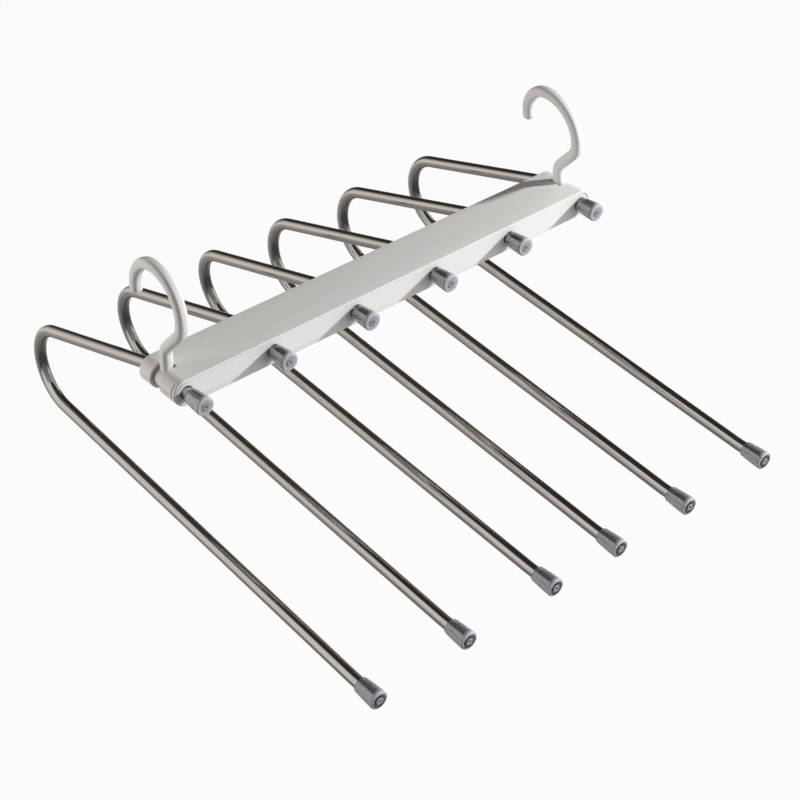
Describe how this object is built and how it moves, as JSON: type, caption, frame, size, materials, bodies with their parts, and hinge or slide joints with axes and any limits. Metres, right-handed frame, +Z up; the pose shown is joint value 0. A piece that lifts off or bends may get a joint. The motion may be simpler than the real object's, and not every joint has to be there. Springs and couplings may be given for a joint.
{
  "type": "folding trouser hanger",
  "caption": "Wardrobe hanger: a flat plastic bar on swivelling rail hooks, with bent steel arms that swing and fold together and carry trousers, their ends in soft clear caps.",
  "frame": {"origin": "middle of the line on which the two hooks bear on the wardrobe rail, inside the crowns of the hooks", "axes": "+X along the bar to the right-hand hook, +Y from the arms' open tips towards their return bends, +Z up"},
  "size_m": [0.3177, 0.332, 0.188],
  "materials": {
    "off_white_plastic": "satin moulded plastic, warm off-white",
    "satin_steel": "bright drawn steel tube, lightly satin",
    "smoky_clear_vinyl": "clear soft vinyl with a smoky violet tint"
  },
  "bodies": {
    "bar": {"bar_tray": "off_white_plastic", "bar_cover": "off_white_plastic"},
    "left_hook": {"left_hook": "off_white_plastic"},
    "right_hook": {"right_hook": "off_white_plastic"},
    "arm_1": {"trouser_arm_1": "satin_steel", "pivot_cap_1": "smoky_clear_vinyl", "tip_cap_1": "smoky_clear_vinyl"},
    "arm_2": {"trouser_arm_2": "satin_steel", "pivot_cap_2": "smoky_clear_vinyl", "tip_cap_2": "smoky_clear_vinyl"},
    "arm_3": {"trouser_arm_3": "satin_steel", "pivot_cap_3": "smoky_clear_vinyl", "tip_cap_3": "smoky_clear_vinyl"},
    "arm_4": {"trouser_arm_4": "satin_steel", "pivot_cap_4": "smoky_clear_vinyl", "tip_cap_4": "smoky_clear_vinyl"},
    "arm_5": {"trouser_arm_5": "satin_steel", "pivot_cap_5": "smoky_clear_vinyl", "tip_cap_5": "smoky_clear_vinyl"},
    "arm_6": {"trouser_arm_6": "satin_steel", "pivot_cap_6": "smoky_clear_vinyl", "tip_cap_6": "smoky_clear_vinyl"}
  },
  "joints": [
    {"name": "left_hook_swivel", "type": "hinge", "parent": "bar", "child": "left_hook", "pos_m": [-0.15, -0.0095, -0.06499], "axis": [0, -1, 0], "range_deg": [-3, 93]},
    {"name": "right_hook_swivel", "type": "hinge", "parent": "bar", "child": "right_hook", "pos_m": [0.15, -0.0095, -0.06499], "axis": [0, 1, 0], "range_deg": [-2, 93]},
    {"name": "arm_1_swing", "type": "hinge", "parent": "bar", "child": "arm_1", "pos_m": [-0.15, -0.0095, -0.06499], "axis": [0, 1, 0], "range_deg": [-74, 74]},
    {"name": "arm_2_swing", "type": "hinge", "parent": "bar", "child": "arm_2", "pos_m": [-0.09, -0.0095, -0.06499], "axis": [0, 1, 0], "range_deg": [-74, 74]},
    {"name": "arm_3_swing", "type": "hinge", "parent": "bar", "child": "arm_3", "pos_m": [-0.03, -0.0095, -0.06499], "axis": [0, 1, 0], "range_deg": [-74, 74]},
    {"name": "arm_4_swing", "type": "hinge", "parent": "bar", "child": "arm_4", "pos_m": [0.03, -0.0095, -0.06499], "axis": [0, 1, 0], "range_deg": [-74, 74]},
    {"name": "arm_5_swing", "type": "hinge", "parent": "bar", "child": "arm_5", "pos_m": [0.09, -0.0095, -0.06499], "axis": [0, 1, 0], "range_deg": [-74, 74]},
    {"name": "arm_6_swing", "type": "hinge", "parent": "bar", "child": "arm_6", "pos_m": [0.15, -0.0095, -0.06499], "axis": [0, 1, 0], "range_deg": [-74, 74]}
  ],
  "couplings": [
    {"joint": "arm_2_swing", "follows": "arm_1_swing", "ratio": 1},
    {"joint": "arm_3_swing", "follows": "arm_1_swing", "ratio": 1},
    {"joint": "arm_4_swing", "follows": "arm_1_swing", "ratio": 1},
    {"joint": "arm_5_swing", "follows": "arm_1_swing", "ratio": 1},
    {"joint": "arm_6_swing", "follows": "arm_1_swing", "ratio": 1}
  ]
}
